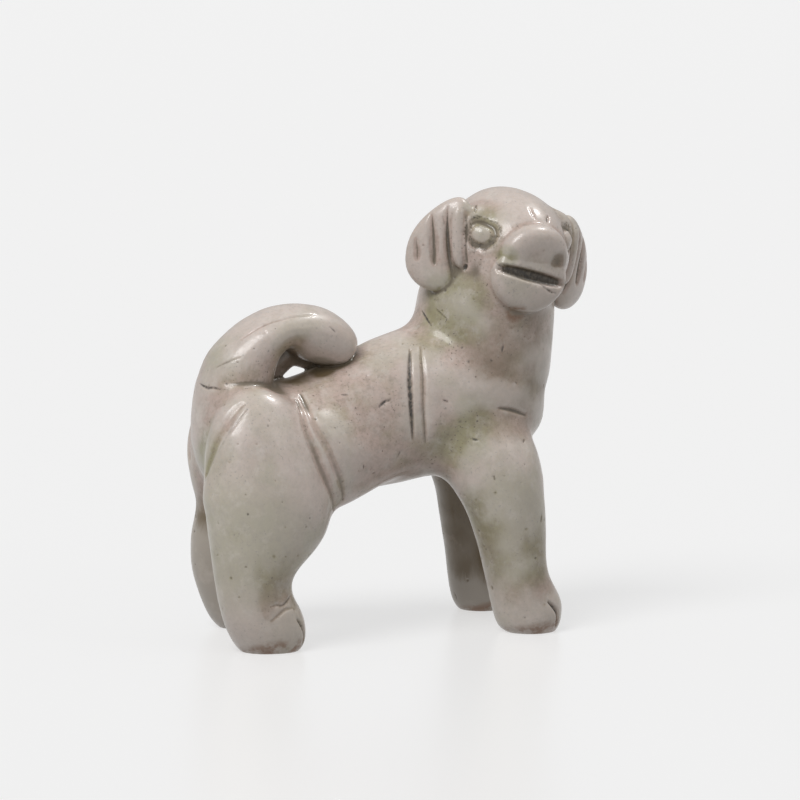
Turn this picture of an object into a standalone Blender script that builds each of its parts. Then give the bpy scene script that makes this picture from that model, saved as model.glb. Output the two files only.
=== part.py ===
"""A small standing dog in celadon-glazed stoneware, modelled by hand from rolls of clay.

The body faces +X, its left side is +Y and it stands on z = 0, under the middle of its own box.
The head is turned to the dog's right. The clay is one piece: legs, trunk, neck and tail are rolls
that were pressed together and smoothed, the ears and the muzzle were put on, and the marks of
the tool were pressed in last.
"""

import math

import bmesh
import bpy
from mathutils import Matrix, Vector
from mathutils.bvhtree import BVHTree
from mathutils.kdtree import KDTree

# Driving dimension, in metres. The figure keeps its pose and proportions as shares of its height:
# everything below counts in 64ths of it, so that one step is a millimetre on this dog.
HEIGHT = 0.064
STEP = HEIGHT / 64

# How the clay is worked, in the same steps.
ROLL_SIDES = 12          # corners of a roll's cage
ROLL_FULLNESS = 1.045    # a subdivided ring is this much smaller than its cage
BLEND_GRAIN = 0.50       # grain of the blended rolls
JOINT_FILL = 3.0         # clay pressed into the joints: their round stays this large
FINGER_LOSS = 0.12       # what the smoothing finger takes off, made up beforehand
BLEND_PASSES = 19        # finger strokes over the blended rolls
DETAIL_GRAIN = 0.32      # grain once the ears, eyes and muzzle are on
DETAIL_PASSES = 3
FACE_COUNT = 9500        # triangles kept of the finished skin

# Each roll is a row of sections: x, y, z of its middle, half its width and half its depth.
# The width lies along the roll's own sideways direction, the depth square to that and to its path.
TRUNK = (
    (-27.5, 0, 27.5, 3.6, 3.5),
    (-25.5, 0, 28.0, 8.0, 7.0),
    (-21.0, 0, 28.3, 9.6, 8.6),
    (-15.0, 0, 28.4, 9.6, 8.4),
    (-9.0, 0, 29.5, 9.4, 9.2),
    (-3.0, 0, 30.9, 9.4, 10.2),
    (3.0, 0, 32.8, 9.7, 10.9),
    (9.0, 0, 33.6, 10.8, 11.1),
    (15.0, 0, 34.0, 10.8, 10.6),
    (19.4, 0, 35.0, 8.8, 9.0),
    (22.4, 0, 36.4, 5.0, 5.6),
)
NECK = (
    (14.2, 0, 33.0, 9.8, 9.6),
    (14.9, 0, 38.0, 9.9, 10.0),
    (15.1, 0, 43.0, 9.9, 10.2),
    (15.4, -0.3, 47.0, 9.8, 10.2),
    (16.1, -0.8, 50.5, 9.0, 9.3),
    (16.9, -1.0, 53.5, 7.8, 8.0),
    (17.4, -1.0, 56.0, 5.0, 5.0),
)
# The thighs run on into the flanks, low along the belly. Mirrored for the left one.
FLANK = (
    (-21.0, -6.4, 26.0, 4.0, 6.0),
    (-17.0, -6.8, 26.2, 5.6, 8.0),
    (-12.0, -6.4, 26.6, 5.4, 7.8),
    (-7.0, -4.9, 27.4, 5.0, 6.7),
    (-2.0, -4.2, 28.2, 4.6, 5.6),
    (3.0, -3.6, 28.6, 4.0, 4.4),
)
RIGHT_HIND_LEG = (
    (-19.6, -4.6, 36.0, 2.8, 4.4),
    (-21.6, -5.8, 32.8, 5.0, 7.2),
    (-22.3, -6.8, 28.6, 6.0, 8.3),
    (-22.2, -7.8, 24.4, 6.4, 8.9),
    (-21.8, -8.6, 21.0, 6.5, 9.9),
    (-22.5, -9.1, 18.2, 6.2, 9.2),
    (-24.1, -9.4, 14.3, 5.5, 7.2),
    (-25.2, -9.6, 10.0, 4.9, 5.0),
    (-24.7, -9.6, 6.8, 4.8, 4.8),
    (-23.1, -9.6, 4.0, 4.9, 5.5),
    (-21.3, -9.6, 2.1, 4.6, 5.0),
    (-20.1, -9.6, 0.7, 3.9, 3.5),
    (-20.0, -9.6, -0.8, 2.7, 2.2),
)
LEFT_HIND_LEG = (
    (-18.6, 4.6, 36.0, 2.8, 4.4),
    (-20.2, 5.8, 32.8, 5.0, 7.2),
    (-20.4, 6.8, 28.6, 6.0, 8.0),
    (-19.4, 7.8, 24.4, 6.4, 8.3),
    (-18.6, 8.4, 20.2, 6.4, 7.8),
    (-18.4, 8.8, 17.2, 6.2, 7.4),
    (-19.7, 9.1, 13.6, 5.8, 7.1),
    (-21.2, 9.3, 9.6, 5.0, 6.0),
    (-20.5, 9.5, 6.6, 4.8, 5.3),
    (-18.9, 9.6, 4.0, 4.9, 5.7),
    (-17.8, 9.6, 2.1, 4.6, 5.1),
    (-16.9, 9.6, 0.7, 4.0, 3.9),
    (-16.7, 9.6, -0.8, 2.8, 2.6),
)
RIGHT_FORE_LEG = (
    (12.8, -3.6, 36.0, 3.4, 5.0),
    (12.4, -5.4, 31.6, 4.8, 6.6),
    (12.4, -6.8, 27.0, 5.3, 6.9),
    (13.0, -7.9, 24.6, 5.6, 6.9),
    (13.8, -8.6, 22.4, 5.6, 6.6),
    (14.6, -9.2, 19.2, 5.4, 5.8),
    (15.2, -9.6, 15.0, 5.0, 5.3),
    (15.7, -9.9, 10.4, 4.6, 4.6),
    (16.3, -10.0, 7.2, 4.3, 4.4),
    (17.2, -10.1, 4.6, 4.3, 4.8),
    (18.1, -10.2, 2.7, 4.4, 5.2),
    (18.6, -10.2, 1.3, 4.1, 4.4),
    (18.8, -10.2, 0.5, 3.7, 3.8),
    (18.8, -10.2, -0.9, 2.6, 2.6),
)
LEFT_FORE_LEG = (
    (13.0, 3.6, 36.0, 3.4, 5.0),
    (13.4, 5.6, 31.6, 5.2, 6.4),
    (14.2, 7.2, 28.0, 5.6, 6.4),
    (15.4, 8.0, 25.5, 5.8, 6.4),
    (16.8, 8.4, 21.4, 5.5, 5.6),
    (17.4, 8.9, 17.2, 5.1, 5.2),
    (18.0, 9.2, 13.3, 4.8, 5.1),
    (18.4, 9.4, 9.5, 4.6, 4.9),
    (18.6, 9.5, 5.7, 4.4, 4.7),
    (19.2, 9.5, 3.2, 4.4, 4.9),
    (20.0, 9.5, 1.3, 4.2, 4.6),
    (20.3, 9.5, 0.5, 3.8, 3.9),
    (20.3, 9.5, -0.9, 2.6, 2.6),
)
TAIL = (
    (-24.6, 0, 21.6, 3.4, 2.0),
    (-26.3, 0, 25.6, 5.2, 3.1),
    (-26.3, 0, 30.4, 5.8, 3.8),
    (-24.2, 0, 35.2, 6.0, 5.4),
    (-22.9, 0, 39.4, 6.0, 5.2),
    (-20.4, 0, 43.2, 5.9, 3.7),
    (-16.6, 0, 45.2, 5.9, 3.0),
    (-13.4, 0, 44.3, 5.8, 3.9),
    (-10.4, 0, 43.2, 5.4, 4.1),
    (-7.8, 0, 41.6, 4.8, 3.5),
    (-6.4, 0, 40.2, 3.6, 2.2),
)
TAIL_ROOT = 5            # sections that grow out of the rump without a seam
# Past the tip the roll turns back along the far side, and leaves only a small gap over the back.
TUCKED_TIP = (
    (-8.4, 2.4, 40.2, 2.0, 1.9),
    (-10.4, 3.0, 40.2, 2.5, 2.5),
    (-12.8, 3.3, 41.4, 2.6, 2.6),
    (-15.0, 3.3, 41.2, 2.6, 2.9),
    (-17.4, 3.3, 39.6, 2.6, 3.2),
    (-20.0, 3.3, 36.8, 2.4, 3.0),
)

# The head has its own frame: x forward, y to the dog's left ear and z up, from the skull's middle.
HEAD_MIDDLE = (17.4, -1.0, 55.5)
HEAD_TURN = -86          # degrees from the body's heading
HEAD_DIP = 3             # the nose goes down by this
HEAD_TILT = -6           # the left ear goes down by this
SKULL = (
    (-8.4, 0.6, 0.2, 2.6, 2.6),
    (-7.0, 0.6, 0.2, 5.8, 5.8),
    (-3.4, 0.6, 0.1, 8.4, 8.2),
    (1.0, 0.6, 0, 8.6, 8.6),
    (4.6, 0.6, -0.8, 7.9, 7.9),
    (7.4, 0.6, -2.0, 6.8, 7.1),
    (9.4, 0.6, -2.4, 5.4, 5.8),
)
# The muzzle is a plug with a flat face, narrower over the nose than at the lip.
NOSE = (
    (3.6, 0.2, -0.8, 5.8, 5.2),
    (8.0, 0.3, -0.5, 5.6, 5.1),
    (9.8, 0.4, -0.4, 5.3, 4.9),
    (10.9, 0.4, -0.4, 5.0, 4.5),
    (11.5, 0.4, -0.6, 3.4, 3.0),
)
JAW = (
    (4.0, 0, -3.2, 5.8, 5.0),
    (9.4, 0, -3.4, 6.0, 5.5),
    (10.8, 0, -3.4, 5.6, 5.1),
    (11.4, 0, -3.4, 3.8, 3.3),
)
# Clay pressed into the corner behind the jaw, and into the one between eye and ear.
JOWL = (
    (1.0, 0, -2.2, 7.2, 6.4),
    (5.4, 0, -3.0, 6.8, 6.1),
    (8.8, 0, -3.4, 6.0, 5.4),
    (10.3, 0, -3.4, 5.0, 4.5),
    (10.9, 0, -3.4, 3.4, 3.0),
)
TEMPLE = (
    (2.8, 7.0, 5.8, 1.0, 1.0),
    (3.8, 7.7, 4.2, 1.4, 1.4),
    (4.2, 7.9, 2.0, 1.5, 1.5),
    (4.4, 7.6, -0.8, 1.5, 1.5),
    (4.2, 7.0, -3.4, 1.0, 1.0),
)

# An ear hangs down in a plane that flares out from the side of the face.
EAR_FLARE = 60           # degrees from straight back to straight out
EAR_FRONT = (3.4, 7.6)   # forward and outward of the skull's middle, at the ear's front edge
EAR_DROP = {-1: 0, 1: 1.5}   # the left ear is set lower
# Height, reach of its middle from the front edge, half its width and half its thickness.
EAR = (
    (5.7, -0.2, 1.7, 1.2),
    (4.7, 1.0, 2.5, 1.7),
    (3.3, 2.3, 3.0, 1.7),
    (0.9, 3.7, 3.9, 1.6),
    (-1.8, 4.2, 4.6, 1.6),
    (-3.6, 4.1, 4.5, 1.6),
    (-4.8, 2.9, 3.5, 1.5),
    (-5.9, 1.7, 2.1, 1.3),
    (-6.4, 1.3, 0.8, 0.6),
)
# The flap's front edge is folded into a thin roll. Forward, outward and up, as in the head's frame.
EAR_HEM = (
    (3.3, 9.2, 5.8, 0.5, 0.5),
    (3.8, 9.6, 4.6, 1.0, 0.9),
    (4.0, 9.4, 2.4, 1.15, 1.0),
    (4.1, 9.1, -0.2, 1.15, 1.0),
    (4.3, 8.8, -2.2, 1.05, 0.95),
    (4.4, 8.5, -3.4, 0.45, 0.45),
)

# Strokes of the tool: half the groove's width, its depth and the points that it passes, from one
# end to the other. The points are moved to the skin, so they only say where on it they lie.
RIGHT_FLANK = (
    (0.55, 0.45, ((-17.8, -8.6, 34.1), (-17.3, -10.7, 31.3), (-16.2, -12.1, 27.2), (-14.6, -12.4, 22.3),
                  (-12.8, -10.1, 19.1))),
    (0.6, 0.5, ((-16.1, -7.8, 34.0), (-15.4, -10.6, 31.5), (-14.3, -11.7, 28.6), (-12.5, -11.6, 24.7),
                (-10.9, -9.6, 20.8))),
    (0.6, 0.5, ((0.8, -5.3, 41.2), (-0.1, -8.2, 37.4), (-0.3, -9.5, 33.0), (0.3, -9.1, 28.7))),
    (0.6, 0.5, ((2.5, -5.3, 41.7), (1.7, -8.5, 37.4), (2.0, -9.5, 32.0), (2.7, -8.1, 26.6))),
    (0.9, 0.6, ((-25.5, -8.7, 35.3), (-28.9, -8.9, 31.3), (-30.0, -8.6, 28.9), (-31.0, -7.5, 24.5))),
    (0.5, 0.3, ((-25.4, -9.5, 34.6), (-28.8, -9.6, 30.7), (-30.0, -9.2, 28.1))),
    (0.6, 0.6, ((12.2, -10.8, 32.5), (14.5, -10.5, 32.6), (16.9, -9.9, 31.5))),
)
TAIL_RIDGE = (
    (0.6, 0.25, ((-13.6, -3.3, 47.0), (-19.1, -3.2, 46.5), (-23.9, -2.4, 44.3), (-27.3, -1.7, 40.9))),
)
# A foot's toe cuts, from the middle of the front of its sole: forward, sideways and up.
TOE_CUTS = tuple(
    (0.50, 0.6, ((1.6 - back, across, 4.6), (3.2 - back, across, 3.0), (3.6 - back, across, 0.8)))
    for across, back in ((-3.0, 0.8), (-0.2, 0), (2.7, 0.6))
)
FEET = ((-20.8, -9.6), (-16.4, 9.6), (18.0, -10.2), (19.8, 9.5))
# In the head's frame. The mouth slopes a little towards the left ear.
MOUTH = ((1.15, 1.7, ((10.6, -6.2, -2.2), (11.3, -3.4, -2.5), (11.5, -0.6, -3.0), (11.4, 2.4, -3.5),
                     (11.0, 5.2, -3.9))),)
NOSTRILS = ((0.9, 0.35, ((11.4, -4.3, -0.4), (11.4, -4.1, -0.6))),
            (0.9, 0.35, ((11.4, 3.6, -0.5), (11.4, 3.5, -0.7))))
RIGHT_EAR_FOLDS = (
    (0.7, 0.8, ((2.9, -10.5, 5.2), (3.1, -10.9, 3.4), (3.2, -10.4, -0.6), (3.6, -9.4, -5.0))),
    (0.6, 0.7, ((1.4, -12.7, 3.7), (2.1, -12.8, 0.8), (2.7, -11.9, -3.2))),
    (0.5, 0.35, ((0.7, -14.2, 0.6), (1.2, -14.0, -3.0))),
)
EYE_PLACE = (6.5, 6.9, 2.0)   # forward, outward and up
EYE_BEAD = 1.7                # radius of the round eye
EYE_RISE = 0.45
EYE_GROOVE = 1.95             # radius of the groove round it
EYE_GROOVE_CUT = (0.80, 0.60)
STROKE_SPACING = 0.15
SOLE_MERGE = 1e-7

SIDEWAYS = Vector((0, 1, 0))

CLAY = (0.36, 0.33, 0.27, 1)
GLAZE_ROUGHNESS = 0.28


def clear_scene():
    for thing in list(bpy.data.objects):
        bpy.data.objects.remove(thing)


def collection(name):
    made = bpy.data.collections.new(name)
    bpy.context.scene.collection.children.link(made)
    return made


def glaze():
    """Grey-green glaze, glossy, over a clay that is a little pink."""
    material = bpy.data.materials.new("celadon_glaze")
    material.use_nodes = True
    shader = material.node_tree.nodes["Principled BSDF"]
    shader.inputs["Base Color"].default_value = CLAY
    shader.inputs["Roughness"].default_value = GLAZE_ROUGHNESS
    shader.inputs["Metallic"].default_value = 0
    return material


def figure_frame():
    """Takes the tables' steps to metres."""
    return Matrix.Scale(STEP, 4)


def head_frame():
    """Turns and moves what is built in the head's own frame to its place on the neck."""
    turn = Matrix.Rotation(math.radians(HEAD_TURN), 4, "Z")
    dip = Matrix.Rotation(math.radians(HEAD_DIP), 4, "Y")
    tilt = Matrix.Rotation(math.radians(HEAD_TILT), 4, "X")
    return figure_frame() @ Matrix.Translation(HEAD_MIDDLE) @ turn @ dip @ tilt


def ring_of(bm, middle, across, along, half_width, half_depth, capped):
    """One elliptical section, square to `along`, as its vertices."""
    deep = along.cross(across).normalized()
    wide = deep.cross(along).normalized()
    turn = Matrix((wide, deep, along)).transposed().to_4x4()
    size = Matrix.Diagonal((half_width, half_depth, 1, 1))
    made = bmesh.ops.create_circle(
        bm, cap_ends=capped, radius=ROLL_FULLNESS, segments=ROLL_SIDES,
        matrix=Matrix.Translation(middle) @ turn @ size,
    )
    return [vert for vert in made["verts"] if vert.is_valid]


def edges_of(verts):
    return list({edge for vert in verts for edge in vert.link_edges})


def add_roll(bm, sections, frame=figure_frame(), across=SIDEWAYS):
    """A closed roll of clay through the sections, as a cage for Subdivision Surface."""
    middles = [Vector(section[:3]) for section in sections]
    last = len(sections) - 1
    rings = []
    for i, section in enumerate(sections):
        along = (middles[min(i + 1, last)] - middles[max(i - 1, 0)]).normalized()
        rings.append(ring_of(bm, middles[i], across, along, section[3], section[4], i in (0, last)))
    edges = [edges_of(ring) for ring in rings]
    for one, other in zip(edges, edges[1:]):
        bmesh.ops.bridge_loops(bm, edges=one + other)
    bmesh.ops.transform(bm, matrix=frame, verts=sum(rings, []))


def as_object(bm, name, home):
    bmesh.ops.recalc_face_normals(bm, faces=bm.faces)
    mesh = bpy.data.meshes.new(name)
    bm.to_mesh(mesh)
    bm.free()
    made = bpy.data.objects.new(name, mesh)
    home.objects.link(made)
    return made


def modifier(thing, kind, **settings):
    made = thing.modifiers.new(kind.title(), kind)
    for key, value in settings.items():
        setattr(made, key, value)
    return made


def baked(thing):
    """Replaces the object's mesh with what its modifiers make of it."""
    graph = bpy.context.evaluated_depsgraph_get()
    graph.update()
    mesh = bpy.data.meshes.new_from_object(thing.evaluated_get(graph))
    thing.modifiers.clear()
    old = thing.data
    thing.data = mesh
    bpy.data.meshes.remove(old)
    return thing


def mirrored(sections):
    return [(x, -y, z, width, depth) for x, y, z, width, depth in sections]


def blended_rolls(home):
    """Trunk, neck, skull, legs and the tail's root, pressed together and smoothed over."""
    bm = bmesh.new()
    for roll in (
        TRUNK, NECK, FLANK, mirrored(FLANK), RIGHT_HIND_LEG, LEFT_HIND_LEG,
        RIGHT_FORE_LEG, LEFT_FORE_LEG, TAIL[:TAIL_ROOT],
    ):
        add_roll(bm, roll)
    for roll in (SKULL, JOWL, TEMPLE, mirrored(TEMPLE)):
        add_roll(bm, roll, head_frame())
    body = as_object(bm, "dog", home)
    modifier(body, "SUBSURF", levels=2, render_levels=2)
    grain = dict(mode="VOXEL", voxel_size=BLEND_GRAIN * STEP)
    modifier(body, "REMESH", **grain)
    for swell in (JOINT_FILL, FINGER_LOSS - JOINT_FILL):
        modifier(body, "DISPLACE", strength=swell * STEP, mid_level=0)
        modifier(body, "REMESH", **grain)
    modifier(body, "SMOOTH", factor=0.5, iterations=BLEND_PASSES)
    return baked(body)


def add_detail(body, home):
    """Tail, nose, jaw and ears, rolled apart and then put on."""
    bm = bmesh.new()
    add_roll(bm, TAIL)
    add_roll(bm, TUCKED_TIP)
    add_roll(bm, NOSE, head_frame())
    add_roll(bm, JAW, head_frame())
    for side in (-1, 1):
        sections, across = ear(side)
        add_roll(bm, sections, head_frame(), across)
        add_roll(bm, hem(side), head_frame())
    parts = as_object(bm, "put_on", home)
    modifier(parts, "SUBSURF", levels=2, render_levels=2)
    baked(parts)
    bm = bmesh.new()
    bm.from_mesh(body.data)
    bm.from_mesh(parts.data)
    bm.to_mesh(body.data)
    bm.free()
    bpy.data.objects.remove(parts)
    modifier(body, "REMESH", mode="VOXEL", voxel_size=DETAIL_GRAIN * STEP)
    modifier(body, "SMOOTH", factor=0.5, iterations=DETAIL_PASSES)
    return baked(body)


def ear(side):
    """The sections of one ear flap and the way that it flares, in the head's frame."""
    flare = Vector((-math.cos(math.radians(EAR_FLARE)), side * math.sin(math.radians(EAR_FLARE)), 0))
    sections = []
    for up, reach, half_width, half_thickness in EAR:
        middle = Vector((EAR_FRONT[0], side * EAR_FRONT[1], up - EAR_DROP[side])) + flare * reach
        sections.append((*middle, half_width, half_thickness))
    return sections, flare


def hem(side):
    return [(x, side * y, z - EAR_DROP[side], width, depth) for x, y, z, width, depth in EAR_HEM]


def flat_feet(body):
    """Cuts everything below the floor away, so that each foot has a flat sole."""
    bm = bmesh.new()
    bm.from_mesh(body.data)
    cut = bmesh.ops.bisect_plane(
        bm, geom=bm.verts[:] + bm.edges[:] + bm.faces[:], dist=SOLE_MERGE,
        plane_co=(0, 0, 0), plane_no=(0, 0, -1), clear_outer=True,
    )
    rim = [e for e in cut["geom_cut"] if isinstance(e, bmesh.types.BMEdge)]
    bmesh.ops.holes_fill(bm, edges=rim, sides=0)
    bm.to_mesh(body.data)
    bm.free()


def smooth_path(points):
    """Points close together on a Catmull-Rom curve through the given ones."""
    knots = [points[0], *points, points[-1]]
    path = []
    for before, start, end, after in zip(knots, knots[1:], knots[2:], knots[3:]):
        count = max(1, math.ceil((end - start).length / (STROKE_SPACING * STEP)))
        for i in range(count):
            t = i / count
            path.append(
                start + (end - before) * (t / 2)
                + (before * 2 - start * 5 + end * 4 - after) * (t * t / 2)
                + (start * 3 - before - end * 3 + after) * (t ** 3 / 2)
            )
    return path + [points[-1]]


class Skin:
    """The figure's skin under the tool: how deep each of its points is pressed in."""

    def __init__(self, mesh):
        self.mesh = mesh
        self.surface = BVHTree.FromPolygons([v.co for v in mesh.vertices], [p.vertices for p in mesh.polygons])
        self.points = KDTree(len(mesh.vertices))
        for vert in mesh.vertices:
            self.points.insert(vert.co, vert.index)
        self.points.balance()
        self.depths = [0.0] * len(mesh.vertices)

    def on_skin(self, point):
        return self.surface.find_nearest(point)[0]

    def dab(self, point, half_width, depth):
        """Presses one dab, or raises it where the depth is below zero."""
        for _, index, distance in self.points.find_range(point, half_width * STEP):
            share = (1 - (distance / (half_width * STEP)) ** 2) ** 2
            if abs(depth) * share > abs(self.depths[index]):
                self.depths[index] = depth * share

    def stroke(self, marks, frame=figure_frame(), ends=True):
        for half_width, depth, points in marks:
            path = smooth_path([self.on_skin(frame @ Vector(point)) for point in points])
            for i, point in enumerate(path):
                fullness = math.sin(math.pi * (i + 1) / (len(path) + 1)) ** 0.4 if ends else 1
                self.dab(self.on_skin(point), half_width * fullness, depth * fullness)

    def finish(self):
        normals = [v.normal.copy() for v in self.mesh.vertices]
        for vert, normal, depth in zip(self.mesh.vertices, normals, self.depths):
            vert.co -= normal * (depth * STEP)


def eye(skin, side):
    """A round eye stands in a groove."""
    forward, outward, up = EYE_PLACE
    middle = Vector((forward, side * outward, up))
    look = Vector((forward, side * outward, 0)).normalized()
    beside = Vector((-look.y, look.x, 0))
    turns = 24
    ring = []
    for i in range(turns + 1):
        angle = math.tau * i / turns
        ring.append(middle + beside * (EYE_GROOVE * math.cos(angle)) + Vector((0, 0, EYE_GROOVE * math.sin(angle))))
    skin.dab(skin.on_skin(head_frame() @ middle), EYE_BEAD, -EYE_RISE)
    skin.stroke([(*EYE_GROOVE_CUT, ring)], head_frame(), ends=False)


def mirrored_marks(marks):
    return [(width, depth, [(x, -y, z) for x, y, z in points]) for width, depth, points in marks]


def tool_marks(body):
    """Presses every stroke into the skin."""
    skin = Skin(body.data)
    skin.stroke(RIGHT_FLANK)
    skin.stroke(mirrored_marks(RIGHT_FLANK))
    skin.stroke(TAIL_RIDGE)
    skin.stroke(mirrored_marks(TAIL_RIDGE))
    for x, y in FEET:
        skin.stroke(TOE_CUTS, figure_frame() @ Matrix.Translation((x, y, 0)))
    for marks in (MOUTH, NOSTRILS, RIGHT_EAR_FOLDS):
        skin.stroke(marks, head_frame())
    skin.stroke(mirrored_marks(RIGHT_EAR_FOLDS), head_frame() @ Matrix.Translation((0, 0, -EAR_DROP[1])))
    for side in (-1, 1):
        eye(skin, side)
    skin.finish()


def centred(body):
    """Moves the figure so that it stands over the middle of its own box."""
    corners = [Vector(corner) for corner in body.bound_box]
    low, high = corners[0], corners[6]
    shift = -(low + high) / 2
    shift.z = 0
    body.data.transform(Matrix.Translation(shift))


def main():
    clear_scene()
    home = collection("dog_figurine")
    body = blended_rolls(home)
    add_detail(body, home)
    tool_marks(body)
    modifier(body, "DECIMATE", ratio=FACE_COUNT / (2 * len(body.data.polygons)))
    baked(body)
    flat_feet(body)
    centred(body)
    body.data.materials.clear()
    body.data.materials.append(glaze())
    body.data.shade_smooth()
    return body


main()
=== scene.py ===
# %% [markdown]
# A small dog of glazed stoneware, modelled by hand. The legs, trunk, neck and tail were rolls of
# soft clay, pressed together and smoothed with a wet finger. Ears and muzzle were put on, and a
# pointed tool pressed in the eyes, the mouth and the lines on the flanks. A grey-green glaze
# lies over all of it, thin and pinkish on the ridges, darker where it ran into the marks.
#
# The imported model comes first: it fixes the place and the size of everything here.

# %% Load the frame
import math
import random

import bmesh
import bpy
import numpy as np
from mathutils import Matrix, Vector
from mathutils.bvhtree import BVHTree
from mathutils.kdtree import KDTree
from mathutils.noise import noise as noise_at


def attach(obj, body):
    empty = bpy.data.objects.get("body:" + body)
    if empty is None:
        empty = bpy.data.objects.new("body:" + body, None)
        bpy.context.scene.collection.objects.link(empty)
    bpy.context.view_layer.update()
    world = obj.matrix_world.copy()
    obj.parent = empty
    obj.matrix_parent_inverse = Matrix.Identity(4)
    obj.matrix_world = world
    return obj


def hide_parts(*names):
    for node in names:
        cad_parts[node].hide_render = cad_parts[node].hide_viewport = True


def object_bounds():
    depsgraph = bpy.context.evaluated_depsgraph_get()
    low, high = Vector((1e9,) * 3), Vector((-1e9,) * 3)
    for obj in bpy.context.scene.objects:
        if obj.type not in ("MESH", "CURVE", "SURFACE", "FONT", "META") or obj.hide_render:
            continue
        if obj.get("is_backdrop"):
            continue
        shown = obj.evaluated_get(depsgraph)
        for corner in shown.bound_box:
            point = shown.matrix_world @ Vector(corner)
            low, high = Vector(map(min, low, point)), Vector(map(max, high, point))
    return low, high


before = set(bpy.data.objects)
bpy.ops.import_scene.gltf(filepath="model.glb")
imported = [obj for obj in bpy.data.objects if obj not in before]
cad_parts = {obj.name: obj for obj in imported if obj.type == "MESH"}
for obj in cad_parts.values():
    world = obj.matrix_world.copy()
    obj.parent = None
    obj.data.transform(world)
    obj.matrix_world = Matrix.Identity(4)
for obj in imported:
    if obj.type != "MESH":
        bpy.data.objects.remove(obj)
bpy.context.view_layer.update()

# %% [markdown]
# A voxel remesh can join rolls of any shape into one skin, as wet clay joins, so each roll only
# needs its own outline. A roll is a row of sections: x, y, z of its middle, half its width and half
# its depth, in millimetres. A cage through a few sections, smoothed by Subdivision Surface,
# is easier to correct against a photograph than a mesh that is pushed by hand.

# %% Sizes of the clay
STEP = 0.001                # the tables below count in millimetres
SIDEWAYS = Vector((0, 1, 0))
ROLL_SIDES = 12             # corners of a roll's cage
ROLL_FULLNESS = 1.045       # a subdivided ring is this much smaller than its cage
print("a section is a ring of", ROLL_SIDES, "corners")

# %% Trunk and neck
TRUNK = (
    (-27.5, 0, 27.5, 3.6, 3.5),
    (-25.5, 0, 28.0, 8.0, 7.0),
    (-21.0, 0, 28.3, 9.6, 8.6),
    (-15.0, 0, 28.4, 9.6, 8.4),
    (-9.0, 0, 29.5, 9.4, 9.2),
    (-3.0, 0, 30.9, 9.4, 10.2),
    (3.0, 0, 32.8, 9.7, 10.9),
    (9.0, 0, 33.6, 10.8, 11.1),
    (15.0, 0, 34.0, 10.8, 10.6),
    (19.4, 0, 35.0, 8.8, 9.0),
    (22.4, 0, 36.4, 5.0, 5.6),
)
NECK = (
    (14.2, 0, 33.0, 9.8, 9.6),
    (14.9, 0, 38.0, 9.9, 10.0),
    (15.1, 0, 43.0, 9.9, 10.2),
    (15.4, -0.3, 47.0, 9.8, 10.2),
    (16.1, -0.8, 50.5, 9.0, 9.3),
    (16.9, -1.0, 53.5, 7.8, 8.0),
    (17.4, -1.0, 56.0, 5.0, 5.0),
)
# The thighs run on into the flanks, low along the belly. Mirrored for the left one.
FLANK = (
    (-21.0, -6.4, 26.0, 4.0, 6.0),
    (-17.0, -6.8, 26.2, 5.6, 8.0),
    (-12.0, -6.4, 26.6, 5.4, 7.8),
    (-7.0, -4.9, 27.4, 5.0, 6.7),
    (-2.0, -4.2, 28.2, 4.6, 5.6),
    (3.0, -3.6, 28.6, 4.0, 4.4),
)
print("trunk, neck and flank have", len(TRUNK), len(NECK), len(FLANK), "sections")

# %% [markdown]
# The legs are thick rolls that narrow to short feet. No two are alike, as in the photograph: the
# near hind leg stands back with a full thigh, and the far legs stand further forward, so
# each leg gets its own row instead of a mirrored copy.

# %% Legs
RIGHT_HIND_LEG = (
    (-19.6, -4.6, 36.0, 2.8, 4.4),
    (-21.6, -5.8, 32.8, 5.0, 7.2),
    (-22.3, -6.8, 28.6, 6.0, 8.3),
    (-22.2, -7.8, 24.4, 6.4, 8.9),
    (-21.8, -8.6, 21.0, 6.5, 9.9),
    (-22.5, -9.1, 18.2, 6.2, 9.2),
    (-24.1, -9.4, 14.3, 5.5, 7.2),
    (-25.2, -9.6, 10.0, 4.9, 5.0),
    (-24.7, -9.6, 6.8, 4.8, 4.8),
    (-23.1, -9.6, 4.0, 4.9, 5.5),
    (-21.3, -9.6, 2.1, 4.6, 5.0),
    (-20.1, -9.6, 0.7, 3.9, 3.5),
    (-20.0, -9.6, -0.8, 2.7, 2.2),
)
LEFT_HIND_LEG = (
    (-18.6, 4.6, 36.0, 2.8, 4.4),
    (-20.2, 5.8, 32.8, 5.0, 7.2),
    (-20.4, 6.8, 28.6, 6.0, 8.0),
    (-19.4, 7.8, 24.4, 6.4, 8.3),
    (-18.6, 8.4, 20.2, 6.4, 7.8),
    (-18.4, 8.8, 17.2, 6.2, 7.4),
    (-19.7, 9.1, 13.6, 5.8, 7.1),
    (-21.2, 9.3, 9.6, 5.0, 6.0),
    (-20.5, 9.5, 6.6, 4.8, 5.3),
    (-18.9, 9.6, 4.0, 4.9, 5.7),
    (-17.8, 9.6, 2.1, 4.6, 5.1),
    (-16.9, 9.6, 0.7, 4.0, 3.9),
    (-16.7, 9.6, -0.8, 2.8, 2.6),
)
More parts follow.
